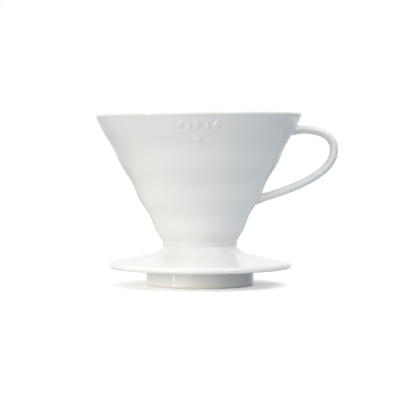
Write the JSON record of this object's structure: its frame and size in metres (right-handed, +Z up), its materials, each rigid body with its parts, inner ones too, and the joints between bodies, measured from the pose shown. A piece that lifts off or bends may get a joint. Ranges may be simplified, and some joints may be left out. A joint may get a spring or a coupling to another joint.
{
  "type": "pour over dripper",
  "caption": "Porcelain cone with spiral ribs inside and one outlet, a loop handle, and a saucer with a locating ring that rests on a cup.",
  "frame": {"origin": "on the table under the middle of the overall footprint; the cone's own axis stands 9.8 mm towards -X from it", "axes": "+Z up out of the cone's mouth, +X towards the handle, -Y is the front with the raised mark"},
  "size_m": [0.14, 0.119, 0.0995],
  "materials": {
    "porcelain_glaze": "clear gloss glaze over white porcelain",
    "foot_porcelain": "clear gloss glaze over white porcelain, wiped off the edge that stood on the kiln shelf"
  },
  "bodies": {
    "root": {"cone": "porcelain_glaze", "handle": "porcelain_glaze", "saucer": "porcelain_glaze", "foot_ring": "foot_porcelain"}
  },
  "joints": []
}
